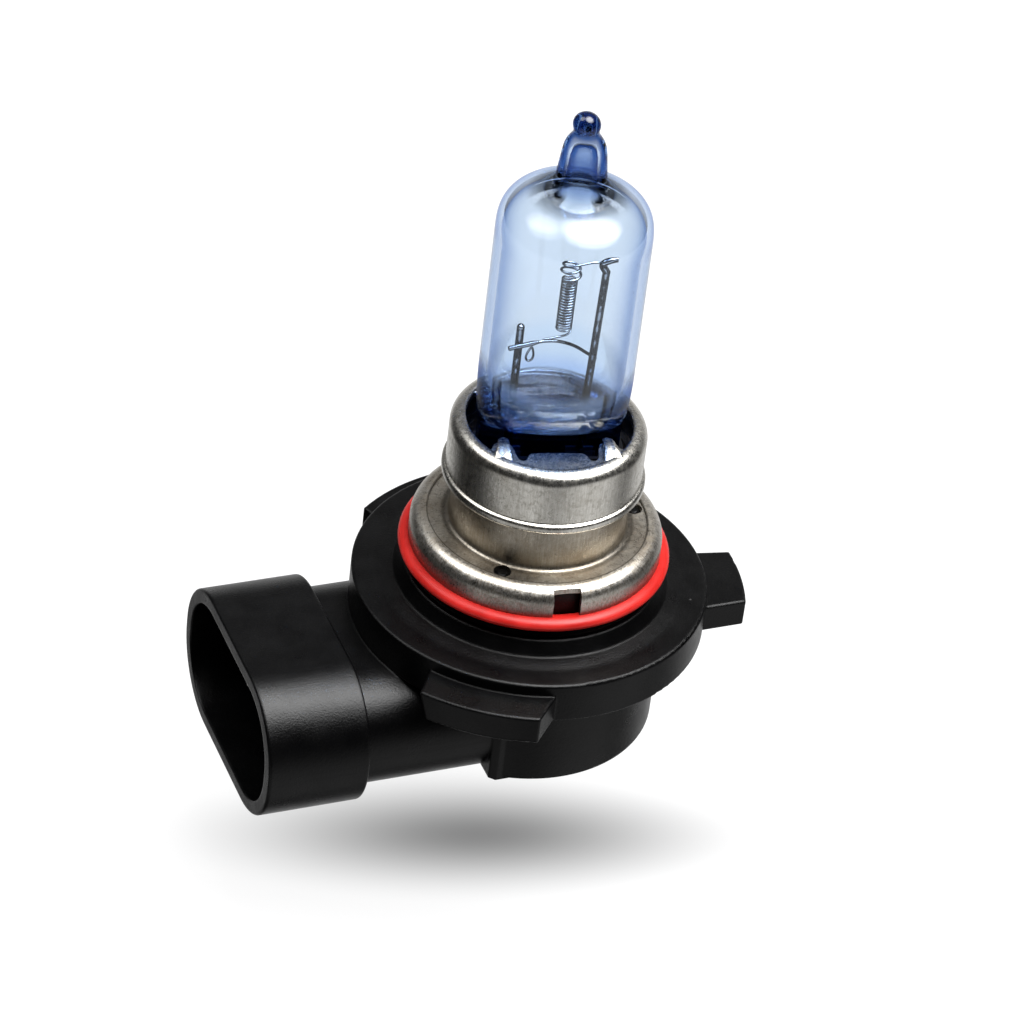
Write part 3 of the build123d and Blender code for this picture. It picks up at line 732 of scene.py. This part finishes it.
def cup_finger(name, side, front):
    """Finger pressed up out of the plate, wide at its root and hollowed along its middle."""
    spine = smooth_path([(side * 4.32, front * 5.45, 14.84), (side * 4.28, front * 5.0, 15.08),
                         (side * 4.22, front * 4.45, 15.30), (side * 4.15, front * 3.8, 15.42),
                         (side * 4.08, front * 3.1, 15.36), (side * 4.02, front * 2.6, 15.15)], 5)
    rings = []
    last = len(spine) - 1
    for i, p in enumerate(spine):
        share = i / last
        half = 0.80 - 0.42 * min(1.0, share * 1.6) + 0.10 * math.sin(math.pi * share)
        half *= 1.0 if share < 0.85 else max(0.25, math.sqrt(max(0.0, 1 - ((share - 0.85) / 0.16) ** 2)))
        ring = []
        for k in range(24):
            a = 2 * math.pi * k / 24
            across, rise = math.cos(a), math.sin(a)
            hollow = -0.10 * math.exp(-(across / 0.35) ** 2) * math.sin(math.pi * share)
            ring.append((p.x + half * across, p.y, p.z + 0.15 * rise + (hollow if rise > 0 else 0.0)))
        rings.append(in_pinch(ring))
    return new_object(name, *rings_to_mesh(rings), STEEL)


def focus_cup():
    pieces = [cup_wall(), cup_plate()]
    for index, (side, front) in enumerate(((-1, -1), (1, -1), (1, 1), (-1, 1))):
        pieces.append(cup_finger("cup_finger_%d" % (index + 1), side, front))
    # painted shade: a near-black sheet just inside the cup wall darkens the cup's inside
    outside, inside = CUP_R - SHEET - 0.06, CUP_R - SHEET - 0.16
    shade_sheet = [(outside, CUP_BOTTOM + 0.1), (outside, 14.0), (inside, 14.0), (inside, CUP_BOTTOM + 0.1)]
    pieces.append(turned_skin("cup_shade_sheet", shade_sheet, CUP_INSIDE))
    for piece in pieces:
        stand_for("focus_cup")


focus_cup()


# ---------------------------------------------------------------- surroundings

FLOOR_Z = -27.0 * MM
FLOOR_HALF = 4.0
# the painted shadow oval on the floor: shift, turn, half length, half width and depth
SHADE_SHIFT = (0.0012, 0.0004, 0.0)
SHADE_TURN = math.radians(14.5)
SHADE_HALF_LENGTH, SHADE_HALF_WIDTH, SHADE_DEPTH = 0.0285, 0.0088, 0.73

floor_mesh = bpy.data.meshes.new("floor")
corners = ((-1, -1), (1, -1), (1, 1), (-1, 1))
floor_mesh.from_pydata([(x * FLOOR_HALF, y * FLOOR_HALF, FLOOR_Z) for x, y in corners], [], [(0, 1, 2, 3)])
floor = bpy.data.objects.new("floor", floor_mesh)
bpy.context.scene.collection.objects.link(floor)
floor.visible_glossy = False


def floor_material():
    """Bright sweep with a painted soft pool of shadow under the bulb, clear from below."""
    n = Nodes("pale_floor")
    place = n.place()
    tone = n.mix(n.noise(place, 30, 3, 0.5), rgb(0.97, 0.97, 0.975), rgb(1.0, 1.0, 1.0))
    # painted shadow: an oval under the bulb dims the floor's glow and darkens its matt colour
    moved = n.add("VectorMath", {0: place, 1: SHADE_SHIFT}, operation="ADD").outputs[0]
    turned = n.add("Mapping", {"Vector": moved, "Rotation": (0, 0, SHADE_TURN)}).outputs[0]
    oval = n.scaled(turned, (1 / SHADE_HALF_LENGTH, 1 / SHADE_HALF_WIDTH, 0.0))
    reach = n.add("VectorMath", {0: oval}, operation="LENGTH").outputs["Value"]
    painted_shadow = n.spread(reach, 1.0, 0.0, 0.0, SHADE_DEPTH)
    light = n.math("SUBTRACT", 1.0, painted_shadow)
    glow = n.add("Emission", {"Color": tone, "Strength": n.math("MULTIPLY", light, 0.90)})
    matt = n.add("BsdfDiffuse", {"Color": n.mix(painted_shadow, rgb(0.10, 0.10, 0.10), rgb(0.03, 0.03, 0.03))})
    both = n.add("AddShader", {0: glow.outputs[0], 1: matt.outputs[0]})
    under = n.add("NewGeometry").outputs["Backfacing"]
    clear = n.add("BsdfTransparent", {"Color": rgb(1.0, 1.0, 1.0)})
    faced = n.add("MixShader", {0: under, 1: both.outputs[0], 2: clear.outputs[0]})
    return n.finish(faced.outputs[0])


floor_mesh.materials.append(floor_material())


def direction(azimuth, elevation):
    """Azimuth 0 is the front (-Y) and 90 the right (+X)."""
    a, e = math.radians(azimuth), math.radians(elevation)
    return (math.sin(a) * math.cos(e), -math.cos(a) * math.cos(e), math.sin(e))


SOFTBOXES = (      # azimuth, elevation, full to, gone at (degrees from its middle), strength
    (60, 72, 8, 33, 21.0),        # overhead softbox
    (-118, 60, 5, 24, 7.0),       # smaller one from the left
    (158, 34, 18, 60, 0.15),      # pale backdrop behind
    (36, -37, 6, 40, 0.85),       # low cards for the metal
    (-55, -37, 4, 34, 0.60),
    (-22, -40, 5, 20, 0.45),
    (150, -30, 15, 60, 0.9),
)
AMBIENT = 0.025
GLOW_IN_GLASS = 0.16      # light that has turned inside the glass is never quite black


def world():
    made = bpy.data.worlds.new("studio")
    made.use_nodes = True
    tree = made.node_tree
    tree.nodes.clear()
    new, link = tree.nodes.new, tree.links.new
    towards = new("ShaderNodeTexCoord").outputs["Generated"]
    total = None
    for azimuth, elevation, full, gone, strength in SOFTBOXES:
        dot = new("ShaderNodeVectorMath")
        dot.operation = "DOT_PRODUCT"
        link(towards, dot.inputs[0])
        dot.inputs[1].default_value = direction(azimuth, elevation)
        soft = new("ShaderNodeMapRange")
        soft.interpolation_type = "SMOOTHSTEP"
        link(dot.outputs["Value"], soft.inputs["Value"])
        soft.inputs["From Min"].default_value = math.cos(math.radians(gone))
        soft.inputs["From Max"].default_value = math.cos(math.radians(full))
        soft.inputs["To Max"].default_value = strength
        add = new("ShaderNodeMath")
        add.operation = "ADD"
        link(soft.outputs["Result"], add.inputs[0])
        if total is None:
            add.inputs[1].default_value = AMBIENT
        else:
            link(total, add.inputs[1])
        total = add.outputs[0]
    seen = new("ShaderNodeLightPath")
    inside = new("ShaderNodeMath")
    inside.operation = "GREATER_THAN"
    link(seen.outputs["Transmission Depth"], inside.inputs[0])
    inside.inputs[1].default_value = 0.5
    glow = new("ShaderNodeMath")
    glow.operation = "MULTIPLY_ADD"
    link(inside.outputs[0], glow.inputs[0])
    glow.inputs[1].default_value = GLOW_IN_GLASS
    link(total, glow.inputs[2])
    lit = new("ShaderNodeBackground")
    link(glow.outputs[0], lit.inputs["Strength"])
    plain = new("ShaderNodeBackground")
    plain.inputs["Strength"].default_value = 1.0
    # seen directly or straight through glass: the plain backdrop
    turns = new("ShaderNodeMath")
    turns.operation = "SUBTRACT"
    link(seen.outputs["Ray Depth"], turns.inputs[0])
    link(seen.outputs["Transmission Depth"], turns.inputs[1])
    through = new("ShaderNodeMath")
    through.operation = "LESS_THAN"
    link(turns.outputs[0], through.inputs[0])
    through.inputs[1].default_value = 0.5
    both = new("ShaderNodeMixShader")
    link(through.outputs[0], both.inputs[0])
    link(lit.outputs[0], both.inputs[1])
    link(plain.outputs[0], both.inputs[2])
    link(both.outputs[0], new("ShaderNodeOutputWorld").inputs["Surface"])
    bpy.context.scene.world = made


world()
bpy.context.scene.view_settings.view_transform = "Standard"


# ---------------------------------------------------------------- camera

def camera():
    data = bpy.data.cameras.new("camera")
    data.sensor_width = 36.0
    data.lens = 168.58
    data.clip_start, data.clip_end = 0.01, 20.0
    cam = bpy.data.objects.new("camera", data)
    bpy.context.scene.collection.objects.link(cam)
    right = Vector((0.9310, -0.3509, 0.1001)).normalized()
    back = Vector((-0.3375, -0.7238, 0.6018)).normalized()
    up = back.cross(right).normalized()
    right = up.cross(back)
    turn = Matrix((right, up, back)).transposed().to_4x4()
    cam.matrix_world = Matrix.Translation((-0.128907, -0.271709, 0.232341)) @ turn
    bpy.context.scene.camera = cam


camera()
